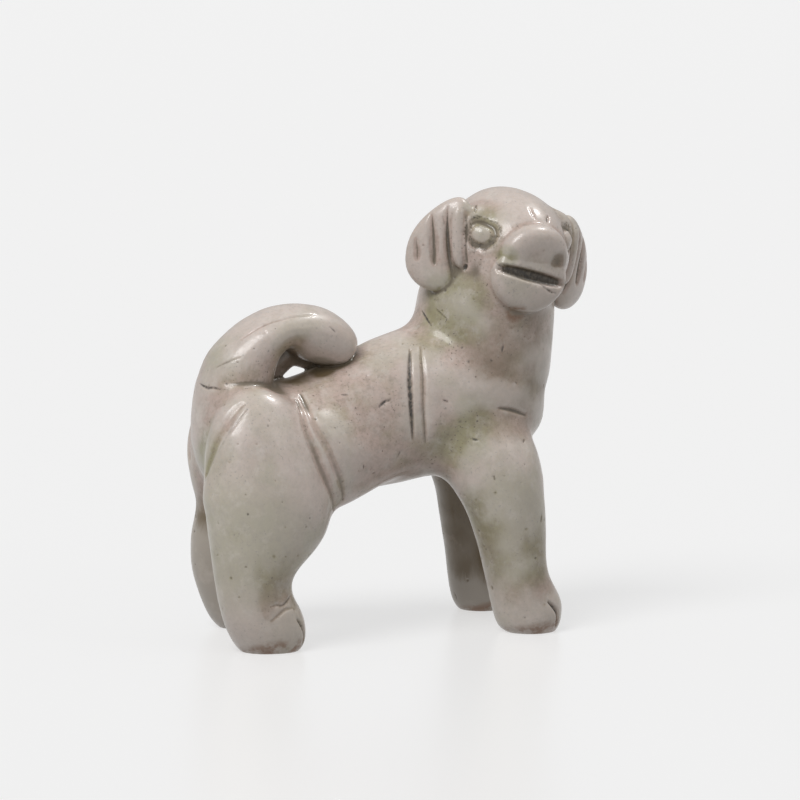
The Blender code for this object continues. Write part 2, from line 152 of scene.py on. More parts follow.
RIGHT_FORE_LEG = (
    (12.8, -3.6, 36.0, 3.4, 5.0),
    (12.4, -5.4, 31.6, 4.8, 6.6),
    (12.4, -6.8, 27.0, 5.3, 6.9),
    (13.0, -7.9, 24.6, 5.6, 6.9),
    (13.8, -8.6, 22.4, 5.6, 6.6),
    (14.6, -9.2, 19.2, 5.4, 5.8),
    (15.2, -9.6, 15.0, 5.0, 5.3),
    (15.7, -9.9, 10.4, 4.6, 4.6),
    (16.3, -10.0, 7.2, 4.3, 4.4),
    (17.2, -10.1, 4.6, 4.3, 4.8),
    (18.1, -10.2, 2.7, 4.4, 5.2),
    (18.6, -10.2, 1.3, 4.1, 4.4),
    (18.8, -10.2, 0.5, 3.7, 3.8),
    (18.8, -10.2, -0.9, 2.6, 2.6),
)
LEFT_FORE_LEG = (
    (13.0, 3.6, 36.0, 3.4, 5.0),
    (13.4, 5.6, 31.6, 5.2, 6.4),
    (14.2, 7.2, 28.0, 5.6, 6.4),
    (15.4, 8.0, 25.5, 5.8, 6.4),
    (16.8, 8.4, 21.4, 5.5, 5.6),
    (17.4, 8.9, 17.2, 5.1, 5.2),
    (18.0, 9.2, 13.3, 4.8, 5.1),
    (18.4, 9.4, 9.5, 4.6, 4.9),
    (18.6, 9.5, 5.7, 4.4, 4.7),
    (19.2, 9.5, 3.2, 4.4, 4.9),
    (20.0, 9.5, 1.3, 4.2, 4.6),
    (20.3, 9.5, 0.5, 3.8, 3.9),
    (20.3, 9.5, -0.9, 2.6, 2.6),
)
LEGS = (RIGHT_HIND_LEG, LEFT_HIND_LEG, RIGHT_FORE_LEG, LEFT_FORE_LEG)
print("the legs have", [len(leg) for leg in LEGS], "sections")

# %% [markdown]
# The tail grows out of the rump and curls forward onto the back. The photograph shows a dark
# hollow under the curl with a thin gap of light, so the roll is taken to turn back behind its own
# tip, as a rolled end would.

# %% Tail
TAIL = (
    (-24.6, 0, 21.6, 3.4, 2.0),
    (-26.3, 0, 25.6, 5.2, 3.1),
    (-26.3, 0, 30.4, 5.8, 3.8),
    (-24.2, 0, 35.2, 6.0, 5.4),
    (-22.9, 0, 39.4, 6.0, 5.2),
    (-20.4, 0, 43.2, 5.9, 3.7),
    (-16.6, 0, 45.2, 5.9, 3.0),
    (-13.4, 0, 44.3, 5.8, 3.9),
    (-10.4, 0, 43.2, 5.4, 4.1),
    (-7.8, 0, 41.6, 4.8, 3.5),
    (-6.4, 0, 40.2, 3.6, 2.2),
)
TAIL_ROOT = 5            # sections that grow out of the rump without a seam
# Past the tip the roll turns back along the far side, and leaves only a small gap over the back.
TUCKED_TIP = (
    (-8.4, 2.4, 40.2, 2.0, 1.9),
    (-10.4, 3.0, 40.2, 2.5, 2.5),
    (-12.8, 3.3, 41.4, 2.6, 2.6),
    (-15.0, 3.3, 41.2, 2.6, 2.9),
    (-17.4, 3.3, 39.6, 2.6, 3.2),
    (-20.0, 3.3, 36.8, 2.4, 3.0),
)
print("the tail has", len(TAIL), "sections and its tucked tip", len(TUCKED_TIP))

# %% [markdown]
# The head looks at the viewer, so it has a frame of its own: x forward, y to the left ear and z
# up, from the middle of the skull. The muzzle is a plug with a flat face, narrower over the nose
# than at the lip. Each ear is a flap that flares out from the side of the face.

# %% Head
HEAD_MIDDLE = (17.4, -1.0, 55.5)
HEAD_TURN = -86          # degrees from the body's heading
HEAD_DIP = 3             # the nose goes down by this
HEAD_TILT = -6           # the left ear goes down by this
SKULL = (
    (-8.4, 0.6, 0.2, 2.6, 2.6),
    (-7.0, 0.6, 0.2, 5.8, 5.8),
    (-3.4, 0.6, 0.1, 8.4, 8.2),
    (1.0, 0.6, 0, 8.6, 8.6),
    (4.6, 0.6, -0.8, 7.9, 7.9),
    (7.4, 0.6, -2.0, 6.8, 7.1),
    (9.4, 0.6, -2.4, 5.4, 5.8),
)
NOSE = (
    (3.6, 0.2, -0.8, 5.8, 5.2),
    (8.0, 0.3, -0.5, 5.6, 5.1),
    (9.8, 0.4, -0.4, 5.3, 4.9),
    (10.9, 0.4, -0.4, 5.0, 4.5),
    (11.5, 0.4, -0.6, 3.4, 3.0),
)
JAW = (
    (4.0, 0, -3.2, 5.8, 5.0),
    (9.4, 0, -3.4, 6.0, 5.5),
    (10.8, 0, -3.4, 5.6, 5.1),
    (11.4, 0, -3.4, 3.8, 3.3),
)
# Clay pressed into the corner behind the jaw, and into the one between eye and ear.
JOWL = (
    (1.0, 0, -2.2, 7.2, 6.4),
    (5.4, 0, -3.0, 6.8, 6.1),
    (8.8, 0, -3.4, 6.0, 5.4),
    (10.3, 0, -3.4, 5.0, 4.5),
    (10.9, 0, -3.4, 3.4, 3.0),
)
TEMPLE = (
    (2.8, 7.0, 5.8, 1.0, 1.0),
    (3.8, 7.7, 4.2, 1.4, 1.4),
    (4.2, 7.9, 2.0, 1.5, 1.5),
    (4.4, 7.6, -0.8, 1.5, 1.5),
    (4.2, 7.0, -3.4, 1.0, 1.0),
)
print("the head looks", -HEAD_TURN, "degrees to the dog's right")

# %% Ears
EAR_FLARE = 60           # degrees from straight back to straight out
EAR_FRONT = (3.4, 7.6)   # forward and outward of the skull's middle, at the ear's front edge
EAR_DROP = {-1: 0, 1: 1.5}   # the left ear is set lower
# Height, reach of its middle from the front edge, half its width and half its thickness.
EAR = (
    (5.7, -0.2, 1.7, 1.2),
    (4.7, 1.0, 2.5, 1.7),
    (3.3, 2.3, 3.0, 1.7),
    (0.9, 3.7, 3.9, 1.6),
    (-1.8, 4.2, 4.6, 1.6),
    (-3.6, 4.1, 4.5, 1.6),
    (-4.8, 2.9, 3.5, 1.5),
    (-5.9, 1.7, 2.1, 1.3),
    (-6.4, 1.3, 0.8, 0.6),
)
# The flap's front edge is folded into a thin roll. Forward, outward and up, as in the head's frame.
EAR_HEM = (
    (3.3, 9.2, 5.8, 0.5, 0.5),
    (3.8, 9.6, 4.6, 1.0, 0.9),
    (4.0, 9.4, 2.4, 1.15, 1.0),
    (4.1, 9.1, -0.2, 1.15, 1.0),
    (4.3, 8.8, -2.2, 1.05, 0.95),
    (4.4, 8.5, -3.4, 0.45, 0.45),
)
print("an ear has", len(EAR), "sections and its hem", len(EAR_HEM))


# %% Into the head's frame
def head_frame():
    turn = Matrix.Rotation(math.radians(HEAD_TURN), 4, "Z")
    dip = Matrix.Rotation(math.radians(HEAD_DIP), 4, "Y")
    tilt = Matrix.Rotation(math.radians(HEAD_TILT), 4, "X")
    return Matrix.Scale(STEP, 4) @ Matrix.Translation(HEAD_MIDDLE) @ turn @ dip @ tilt


def ear(side):
    """The sections of one ear flap and the way that it flares, in the head's frame."""
    angle = math.radians(EAR_FLARE)
    flare = Vector((-math.cos(angle), side * math.sin(angle), 0))
    sections = []
    for up, reach, half_width, half_thickness in EAR:
        middle = Vector((EAR_FRONT[0], side * EAR_FRONT[1], up - EAR_DROP[side])) + flare * reach
        sections.append((*middle, half_width, half_thickness))
    return sections, flare


def hem(side):
    return [(x, side * y, z - EAR_DROP[side], width, depth) for x, y, z, width, depth in EAR_HEM]


print("the skull's middle lies at", tuple(head_frame().translation))

# %% [markdown]
# One circle operator per section and one bridge between two neighbours make a roll. All rings have
# the same number of corners, which keeps Subdivision Surface smooth, and both ends are capped, so
# the remesh sees a closed body.


# %% Roll the clay
def ring_of(bm, middle, across, along, half_width, half_depth, capped):
    """One elliptical section, square to `along`, as its vertices."""
    deep = along.cross(across).normalized()
    wide = deep.cross(along).normalized()
    turn = Matrix((wide, deep, along)).transposed().to_4x4()
    size = Matrix.Diagonal((half_width, half_depth, 1, 1))
    made = bmesh.ops.create_circle(
        bm, cap_ends=capped, radius=ROLL_FULLNESS, segments=ROLL_SIDES,
        matrix=Matrix.Translation(middle) @ turn @ size,
    )
    return [vert for vert in made["verts"] if vert.is_valid]


def edges_of(verts):
    return list({edge for vert in verts for edge in vert.link_edges})


def add_roll(bm, sections, place=Matrix.Scale(STEP, 4), across=SIDEWAYS):
    middles = [Vector(section[:3]) for section in sections]
    last = len(sections) - 1
    rings = []
    for i, section in enumerate(sections):
        along = (middles[min(i + 1, last)] - middles[max(i - 1, 0)]).normalized()
        rings.append(ring_of(bm, middles[i], across, along, section[3], section[4], i in (0, last)))
    edges = [edges_of(ring) for ring in rings]
    for one, other in zip(edges, edges[1:]):
        bmesh.ops.bridge_loops(bm, edges=one + other)
    bmesh.ops.transform(bm, matrix=place, verts=sum(rings, []))


def mirrored(sections):
    return [(x, -y, z, width, depth) for x, y, z, width, depth in sections]


print("the trunk's cage has", ROLL_SIDES * len(TRUNK), "corners")

# %% [markdown]
# Each step of the clay is a modifier, read back into the mesh as soon as it is set. Nothing is left
# live, so a later step always works on what the eye would see.

# %% Cages and modifiers
CAGE_LEVELS = 2          # times that a cage is subdivided
SMOOTHING = 0.5          # strength of one stroke of the wet finger


def as_object(bm, name):
    bmesh.ops.recalc_face_normals(bm, faces=bm.faces)
    mesh = bpy.data.meshes.new(name)
    bm.to_mesh(mesh)
    bm.free()
    made = bpy.data.objects.new(name, mesh)
    bpy.context.scene.collection.objects.link(made)
    return made


def modifier(thing, kind, **settings):
    made = thing.modifiers.new(kind.title(), kind)
    for key, value in settings.items():
        setattr(made, key, value)


def baked(thing):
    """Replaces the object's mesh with what its modifiers make of it."""
    graph = bpy.context.evaluated_depsgraph_get()
    graph.update()
    mesh = bpy.data.meshes.new_from_object(thing.evaluated_get(graph))
    thing.modifiers.clear()
    old = thing.data
    thing.data = mesh
    bpy.data.meshes.remove(old)
    return thing


def subdivided(thing):
    modifier(thing, "SUBSURF", levels=CAGE_LEVELS, render_levels=CAGE_LEVELS)


print("a cage is subdivided", CAGE_LEVELS, "times")

# %% [markdown]
# Where two rolls meet, a potter presses clay into the corner. Swelling the joined skin by a few
# millimetres, remeshing it and shrinking it again does the same: ridges keep their place, and
# every inner corner comes back with a round fillet.

# %% Press the rolls together
BLEND_GRAIN = 0.40       # voxel size while the rolls are joined
JOINT_FILL = 3.0         # the fillets' radius
FINGER_LOSS = 0.12       # what the smoothing finger takes off, made up beforehand
BLEND_PASSES = 30        # wet finger over the joined rolls


def blended_rolls():
    bm = bmesh.new()
    for roll in (TRUNK, NECK, FLANK, mirrored(FLANK), *LEGS, TAIL[:TAIL_ROOT]):
        add_roll(bm, roll)
    for roll in (SKULL, JOWL, TEMPLE, mirrored(TEMPLE)):
        add_roll(bm, roll, head_frame())
    body = as_object(bm, "stoneware_dog")
    subdivided(body)
    grain = dict(mode="VOXEL", voxel_size=BLEND_GRAIN * STEP)
    modifier(body, "REMESH", **grain)
    for swell in (JOINT_FILL, FINGER_LOSS - JOINT_FILL):
        modifier(body, "DISPLACE", strength=swell * STEP, mid_level=0)
        modifier(body, "REMESH", **grain)
    modifier(body, "SMOOTH", factor=SMOOTHING, iterations=BLEND_PASSES)
    return baked(body)


dog = blended_rolls()
print("joined rolls:", len(dog.data.polygons), "faces")

# %% [markdown]
# Tail, muzzle and ears keep a crease where they meet the body, because they were put on after the
# rest was smoothed. A second remesh with a finer grain joins them without a fillet, and is fine
# enough to take the tool's marks.

# %% Put on the tail, the muzzle and the ears
DETAIL_GRAIN = 0.20      # fine enough for the point of the tool
DETAIL_PASSES = 5


def put_on(body):
    bm = bmesh.new()
    add_roll(bm, TAIL)
    add_roll(bm, TUCKED_TIP)
    add_roll(bm, NOSE, head_frame())
    add_roll(bm, JAW, head_frame())
    for side in (-1, 1):
        sections, across = ear(side)
        add_roll(bm, sections, head_frame(), across)
        add_roll(bm, hem(side), head_frame())
    parts = as_object(bm, "put_on")
    subdivided(parts)
    baked(parts)
    bm = bmesh.new()
    bm.from_mesh(body.data)
    bm.from_mesh(parts.data)
    bm.to_mesh(body.data)
    bm.free()
    bpy.data.objects.remove(parts)
    modifier(body, "REMESH", mode="VOXEL", voxel_size=DETAIL_GRAIN * STEP)
    modifier(body, "SMOOTH", factor=SMOOTHING, iterations=DETAIL_PASSES)
    return baked(body)


put_on(dog)
print("whole skin:", len(dog.data.polygons), "faces")

# %% [markdown]
# The tool's marks are strokes across the skin. A stroke is half its width, its depth, how much
# dark glaze it holds, and the points that it passes. Its points are moved to the skin, so they only
# say where on it they lie. Each vertex keeps the deepest mark that reaches it, so strokes
# can cross without digging twice, and the same numbers later tell the glaze where to pool.

# %% The tool's path
STROKE_SPACING = 0.12    # millimetres from one dab to the next


def smooth_path(points):
    """Points close together on a Catmull-Rom curve through the given ones."""
    knots = [points[0], *points, points[-1]]
    path = []
    for before, start, end, after in zip(knots, knots[1:], knots[2:], knots[3:]):
        count = max(1, math.ceil((end - start).length / (STROKE_SPACING * STEP)))
        for i in range(count):
            t = i / count
            path.append(
                start + (end - before) * (t / 2)
                + (before * 2 - start * 5 + end * 4 - after) * (t * t / 2)
                + (start * 3 - before - end * 3 + after) * (t ** 3 / 2)
            )
    return path + [points[-1]]


example = smooth_path([Vector((0, 0, 0)), Vector((0, 0, STEP))])
print("a stroke of a millimetre is", len(example), "dabs")

# %% The skin under the tool
SOFT = 2.0               # how round the sides of a groove are
SHEER = 6.0              # steep sides and a flat floor
TAPER = 0.4              # how soon a stroke reaches its full width: smaller is sooner


class Skin:
    """The skin under the tool: how deep each vertex is pressed in and how stained it is."""

    def __init__(self, mesh):
        self.mesh = mesh
        corners = [p.vertices for p in mesh.polygons]
        self.surface = BVHTree.FromPolygons([v.co for v in mesh.vertices], corners)
        self.points = KDTree(len(mesh.vertices))
        for vert in mesh.vertices:
            self.points.insert(vert.co, vert.index)
        self.points.balance()
        self.depth = np.zeros(len(mesh.vertices))
        self.stain = np.zeros(len(mesh.vertices))

    def on_skin(self, point):
        return self.surface.find_nearest(point)[0]

    def dab(self, point, half_width, depth, stain, steepness=SOFT):
        """Presses one dab, or raises it where the depth is below zero."""
        for _, index, distance in self.points.find_range(point, half_width * STEP):
            share = (1 - (distance / (half_width * STEP)) ** steepness) ** 2
            if abs(depth) * share > abs(self.depth[index]):
                self.depth[index] = depth * share
            self.stain[index] = max(self.stain[index], stain * share)

    def stroke(self, marks, place=Matrix.Scale(STEP, 4), ends=0.0, steepness=SOFT):
        """Draws strokes whose width and depth fall to the share `ends` at both ends."""
        for half_width, depth, stain, points in marks:
            path = smooth_path([self.on_skin(place @ Vector(point)) for point in points])
            for i, point in enumerate(path):
                swell = math.sin(math.pi * (i + 1) / (len(path) + 1)) ** TAPER
                full = ends + (1 - ends) * swell
                self.dab(self.on_skin(point), half_width * full, depth * full, stain * full, steepness)

    def finish(self):
        """Moves each vertex along its normal by the depth of its mark."""
        normals = [v.normal.copy() for v in self.mesh.vertices]
        for vert, normal, depth in zip(self.mesh.vertices, normals, self.depth):
            vert.co -= normal * (float(depth) * STEP)
        self.mesh.update()


skin = Skin(dog.data)
print("the skin has", len(skin.depth), "points")

# %% [markdown]
# A surface pressed by fingers is never quite even, so its highlights wander. Two noises do that: a
# wide one for the fingers' pads and a narrow, shallower one for the skin between them.

# %% Dents of the fingers
DENTS = ((0.16, 9.0), (0.07, 3.2))   # depth and spread, in millimetres


def hand_dents(mesh):
    depth = np.zeros(len(mesh.vertices))
    for amount, spread in DENTS:
        depth += [amount * noise_at(vert.co / (spread * STEP)) for vert in mesh.vertices]
    return depth


dents = hand_dents(dog.data)
print("dents from", round(float(dents.min()), 3), "to", round(float(dents.max()), 3), "mm")

# %% [markdown]
# Two pairs of long strokes mark the shoulder and the thigh, a deep one parts the rump from the root
# of the tail, and a short arc ends the shoulder over the fore leg. The side that the
# photograph doesn't show gets the same strokes, but later hardly any of the cracks and knocks.

# %% Strokes on trunk and legs
FLANK_STROKES = (
    (0.62, 0.34, 1.00, ((1.1, -5.5, 41.3), (0.0, -7.9, 37.2), (-0.3, -9.1, 33.1), (0.0, -9.1, 28.7))),
    (0.75, 0.30, 0.20, ((2.7, -5.6, 41.6), (1.9, -8.4, 37.2), (1.6, -9.4, 33.0), (2.1, -8.9, 28.0))),
    (1.25, 0.34, 0.10, ((-16.8, -6.4, 35.0), (-16.9, -10.6, 31.3), (-15.7, -12.0, 27.1), (-13.8, -11.8, 22.7),
                        (-12.6, -10.0, 19.4))),
    (1.35, 0.38, 0.10, ((-15.7, -5.4, 35.6), (-15.5, -10.0, 31.8), (-13.6, -11.5, 27.7), (-11.6, -10.9, 23.2),
                        (-10.8, -9.6, 20.8))),
    (1.60, 0.42, 0.15, ((-25.7, -8.6, 35.1), (-27.9, -8.6, 32.3), (-29.7, -8.2, 28.8), (-30.6, -7.5, 25.0))),
    (0.45, 0.12, 0.40, ((-25.2, -9.5, 34.4), (-28.0, -9.6, 31.3), (-29.9, -9.2, 28.1))),
    (0.55, 0.30, 0.45, ((12.7, -10.4, 32.9), (15.0, -10.0, 32.4), (17.8, -9.4, 31.4))),
)
FEET = ((-20.8, -9.6), (-16.4, 9.6), (18.0, -10.2), (19.8, 9.5))
# From the middle of the front of a sole: forward, sideways and up.
TOE_CUTS = tuple(
    (0.50, 0.6, 0.95, ((1.6 - back, across, 4.6), (3.2 - back, across, 3.0), (3.6 - back, across, 0.8)))
    for across, back in ((-3.0, 0.8), (-0.2, 0), (2.7, 0.6))
)


def mirrored_marks(marks):
    return [
        (width, depth, stain, [(x, -y, z) for x, y, z in points])
        for width, depth, stain, points in marks
    ]


skin.stroke(FLANK_STROKES)
skin.stroke(mirrored_marks(FLANK_STROKES))
for x, y in FEET:
    skin.stroke(TOE_CUTS, Matrix.Scale(STEP, 4) @ Matrix.Translation((x, y, 0)))
print("marks on", len(FLANK_STROKES), "places of each flank and on", len(FEET), "feet")

# %% [markdown]
# The face is drawn with the same tool. The mouth is one slot with steep sides and a flat floor. An
# eye is a bead, raised with a dab below zero, in a ring of shallow presses. The ears get long
# folds, and the brow and the lip a few light strokes.

# %% Mouth, eyes and ears
MOUTH = (
    (1.02, 1.6, 0.72, ((10.6, -6.0, -2.2), (11.3, -3.4, -2.6), (11.5, -0.6, -3.1), (11.4, 2.4, -3.6),
                      (11.0, 5.0, -4.0))),
)
FACE_STROKES = (
    (0.35, 0.25, 0.4, ((2.6, -6.0, 5.3), (4.4, -7.3, 4.5))),
    (0.28, 0.18, 0.4, ((7.2, 0.0, 6.3), (8.3, 0.0, 5.5), (9.2, 0.1, 4.8))),
    (0.35, 0.30, 0.4, ((8.1, 2.6, 5.2), (9.3, 2.0, 4.6))),
    (0.30, 0.22, 0.7, ((11.1, 1.1, -4.2), (11.2, 2.9, -5.2), (11.0, 3.8, -5.3))),
    (1.60, 0.30, 0.15, ((11.4, -4.3, -0.4), (11.4, -4.1, -0.9))),
    (1.60, 0.30, 0.15, ((11.4, 3.6, -0.5), (11.4, 3.5, -0.9))),
)
EAR_FOLDS = (
    (0.70, 0.15, 0.05, ((2.6, -10.9, 5.2), (2.9, -11.0, 3.4), (3.0, -10.6, 0.5), (3.2, -10.0, -2.4),
                        (3.7, -9.3, -5.0))),
    (1.05, 0.42, 0.05, ((1.4, -12.6, 3.7), (2.1, -12.3, 0.9), (2.6, -11.8, -3.3))),
    (0.95, 0.26, 0.05, ((0.5, -14.2, 0.1), (0.8, -13.9, -1.6), (1.1, -13.9, -3.0))),
)
EYE_PLACE = (6.5, 6.9, 2.0)   # forward, outward and up
EYE_BEAD = 1.6                # radius of the bead
EYE_RISE = 0.45
EYE_GROOVE = 1.95             # radius of the ring
EYE_PRESS = (0.85, 0.36, 0.20)   # half its width, its depth and its stain
EYE_RING_TURNS = 32
MOUTH_CORNERS = 0.45          # how wide the mouth still is at its ends


def eye_ring(side, radius):
    forward, outward, up = EYE_PLACE
    look = Vector((forward, side * outward, 0)).normalized()
    beside = Vector((-look.y, look.x, 0))
    middle = Vector((forward, side * outward, up))
    ring = []
    for i in range(EYE_RING_TURNS + 1):
        angle = math.tau * i / EYE_RING_TURNS
        ring.append(middle + beside * (radius * math.cos(angle)) + Vector((0, 0, radius * math.sin(angle))))
    return ring


def eye(side):
    middle = Vector((EYE_PLACE[0], side * EYE_PLACE[1], EYE_PLACE[2]))
    skin.dab(skin.on_skin(head_frame() @ middle), EYE_BEAD, -EYE_RISE, 0)
    skin.stroke([(*EYE_PRESS, eye_ring(side, EYE_GROOVE))], head_frame(), ends=1)


def left_ear_frame():
    """The left ear is set lower, so the right one's marks go down with it."""
    return head_frame() @ Matrix.Translation((0, 0, -EAR_DROP[1]))


skin.stroke(MOUTH, head_frame(), ends=MOUTH_CORNERS, steepness=SHEER)
skin.stroke(FACE_STROKES, head_frame())
skin.stroke(EAR_FOLDS, head_frame())
skin.stroke(mirrored_marks(EAR_FOLDS), left_ear_frame())
for side in (-1, 1):
    eye(side)
skin.depth += dents
skin.finish()
print("deepest mark:", round(float(skin.depth.max()), 2), "mm")

# %% [markdown]
# Cracks in the glaze, creases, knocks and pinholes are finer than the tool's marks. They are a
# second layer on the pressed skin. The cracks and knocks that the photograph shows have their
# place.

# %% Cracks and creases
EAR_CREASES = (
    (0.32, 0.25, 0.75, ((2.7, -10.7, 5.2), (3.0, -10.7, 3.4), (3.1, -10.3, 0.5), (3.3, -9.8, -2.4),
                        (3.8, -9.1, -4.8))),
    (0.30, 0.20, 0.45, ((4.5, -8.5, 4.2), (4.8, -8.5, 2.1), (4.9, -8.0, -0.7), (5.0, -7.6, -2.6))),
    (0.45, 0.30, 0.90, ((4.9, -7.7, -2.8), (4.8, -7.9, -3.4))),
    (0.26, 0.14, 0.45, ((1.4, -12.6, 3.7), (2.1, -12.3, 0.9), (2.6, -11.8, -3.3))),
    (0.22, 0.10, 0.30, ((0.5, -14.2, 0.1), (0.8, -13.9, -1.6), (1.1, -13.9, -3.0))),
    (0.22, 0.12, 0.45, ((2.8, -11.6, 3.8), (2.9, -11.0, 2.5))),
)
CRACKS = (
    (0.34, 0.18, 1.00, ((-29.0, 0.0, 37.3), (-28.7, -2.3, 36.9), (-28.2, -3.3, 37.0), (-27.4, -4.4, 36.8))),
    (0.26, 0.08, 0.50, ((-27.6, -2.6, 39.7), (-26.1, -4.0, 40.7), (-24.7, -4.9, 41.3))),
    (0.26, 0.15, 1.00, ((4.9, -0.5, 46.5), (5.1, -4.1, 44.4))),
    (0.22, 0.10, 0.70, ((5.9, -3.8, 46.9), (6.8, -6.0, 45.4))),
    (0.38, 0.14, 1.00, ((-5.2, -8.9, 33.6), (-4.2, -8.8, 34.4), (-3.3, -8.8, 34.6))),
    (0.40, 0.15, 0.30, ((-24.1, -3.4, 43.6), (-20.5, -4.0, 45.7), (-16.9, -4.5, 46.6), (-12.9, -4.0, 46.6))),
    (0.32, 0.15, 0.50, ((-24.0, -14.4, 7.0), (-22.9, -14.2, 7.2), (-21.9, -13.7, 7.0), (-20.0, -12.0, 8.0))),
    (0.42, 0.14, 0.25, ((-23.9, -14.4, 5.0), (-22.6, -14.2, 5.8), (-21.6, -13.6, 6.3), (-20.2, -12.9, 6.3))),
)
fine = Skin(dog.data)
fine.stroke(CRACKS)
fine.stroke(EAR_CREASES, head_frame())
fine.stroke(mirrored_marks(EAR_CREASES), left_ear_frame())
print("cracks:", len(CRACKS), "and creases on each ear:", len(EAR_CREASES))

# %% [markdown]
# The rest is scattered with a seeded draw, so that each run gives the same dog: the way each
# knock runs, the ribs that the tool left on the floor of the mouth, pinholes where gas escaped
# from the glaze, and the pricked dots round the eyes.

# %% Knocks, ribs and pinholes
NICKS = (
    (-1.8, -8.8, 27.3), (-8.2, -10.5, 25.8), (-5.9, -9.3, 24.5), (11.8, -10.8, 6.4), (18.2, -13.3, 16.3),
    (-11.2, -4.8, 45.0), (16.5, -11.3, 28.1), (-9.2, -7.4, 35.5), (8.8, -8.9, 39.8), (4.4, -9.9, 34.4),
    (13.9, -9.8, 41.9), (9.3, -11.3, 28.5), (14.3, 8.8, 2.8), (11.0, -13.5, 22.9),
)
NICK_LENGTHS = (0.5, 1.4)
NICK_WIDTH = 0.26
NICK_DEPTH = 0.09
NICK_STAINS = (0.6, 1.0)
MOUTH_RIBS = 24
MOUTH_ENDS = (Vector((9.6, -5.2, -2.3)), Vector((9.8, 4.6, -3.9)))
RIB_ENDS = (Vector((0.2, 0, 0.7)), Vector((0.2, 0, -0.7)))
RIB_WIDTH = 0.15
RIB_DEPTHS = (0.05, 0.14)
RIB_STAINS = (0.5, 1.0)
PINHOLES = 520
PINHOLE_SIZES = (0.14, 0.34)
PINHOLE_DEPTH = 0.07
PINHOLE_STAINS = (0.2, 0.9)
FIRST_DRAW = 7

draw = random.Random(FIRST_DRAW)
for nick in NICKS:
    reach = Vector((draw.uniform(-1, 1), 0, draw.uniform(-1, 1))).normalized() * draw.uniform(*NICK_LENGTHS)
    fine.stroke([(NICK_WIDTH, NICK_DEPTH, draw.uniform(*NICK_STAINS), (nick, Vector(nick) + reach))])
for i in range(MOUTH_RIBS):
    middle = MOUTH_ENDS[0].lerp(MOUTH_ENDS[1], (i + draw.random()) / MOUTH_RIBS)
    rib = (middle + RIB_ENDS[0], middle, middle + RIB_ENDS[1])
    fine.stroke([(RIB_WIDTH, draw.uniform(*RIB_DEPTHS), draw.uniform(*RIB_STAINS), rib)], head_frame())
for _ in range(PINHOLES):
    spot = dog.data.vertices[draw.randrange(len(dog.data.vertices))].co
    fine.dab(spot, draw.uniform(*PINHOLE_SIZES), PINHOLE_DEPTH, draw.uniform(*PINHOLE_STAINS))
print("knocks:", len(NICKS), "ribs:", MOUTH_RIBS, "pinholes:", PINHOLES)

# %% Pricked dots round the eyes
EYE_PITS = 230
EYE_PITS_REACH = (1.5, 3.0)
EYE_PIT_SIZES = (0.12, 0.24)
EYE_PIT_DEPTHS = (0.04, 0.11)
for side in (-1, 1):
    for _ in range(EYE_PITS):
        ring = eye_ring(side, draw.uniform(*EYE_PITS_REACH))
        start = draw.randrange(EYE_RING_TURNS)
        place = ring[start].lerp(ring[start + 1], draw.random())
        spot = fine.on_skin(head_frame() @ place)
        size = draw.uniform(*EYE_PIT_SIZES)
        fine.dab(spot, size, draw.uniform(*EYE_PIT_DEPTHS), draw.uniform(*PINHOLE_STAINS))
fine.finish()
stain = np.maximum(skin.stain, fine.stain)
print("stained vertices:", int((stain > 0.1).sum()))

# %% [markdown]
# The feet were pressed flat on the table, so everything below the floor is cut away and closed.
# Then the figure is set over the middle of its own box, as the solid is.

# %% Stand it on the floor
SOLE_MERGE = 1e-7        # metres from the floor within which a vertex counts as on it
VISIBLE_FACES = 190000   # triangles kept before the soles are cut


def keep_on_vertices(mesh, name, values):
    attribute = mesh.attributes.new(name, "FLOAT", "POINT")
    attribute.data.foreach_set("value", np.asarray(values, dtype=np.float32))


def flat_feet(mesh):
    bm = bmesh.new()
    bm.from_mesh(mesh)
    cut = bmesh.ops.bisect_plane(
        bm, geom=bm.verts[:] + bm.edges[:] + bm.faces[:], dist=SOLE_MERGE,
        plane_co=(0, 0, 0), plane_no=(0, 0, -1), clear_outer=True,
    )
    rim = [e for e in cut["geom_cut"] if isinstance(e, bmesh.types.BMEdge)]
    bmesh.ops.holes_fill(bm, edges=rim, sides=0)
    bm.to_mesh(mesh)
    bm.free()


keep_on_vertices(dog.data, "stain", stain)
modifier(dog, "DECIMATE", ratio=VISIBLE_FACES / (2 * len(dog.data.polygons)))
baked(dog)
flat_feet(dog.data)
corners = [Vector(corner) for corner in dog.bound_box]
lowest, highest = corners[0], corners[6]
shift = -(lowest + highest) / 2
shift.z = 0
dog.data.transform(Matrix.Translation(shift))
dog.data.shade_smooth()
print("finished skin:", len(dog.data.polygons), "faces, moved by", tuple(shift))

# %% [markdown]
# Glaze is thin on ridges and thick in hollows. How hollow a place is follows from the mesh: a
# smoothed copy of the skin lies outside the real one in a hollow and inside it on a ridge. The
# distance, at two scales, goes into an attribute that the material reads.

# %% Where the glaze pools
POOL_PASSES = (12, 120)
POOL_FULL = (0.15, 0.85)     # millimetres of hollow that hold the darkest glaze


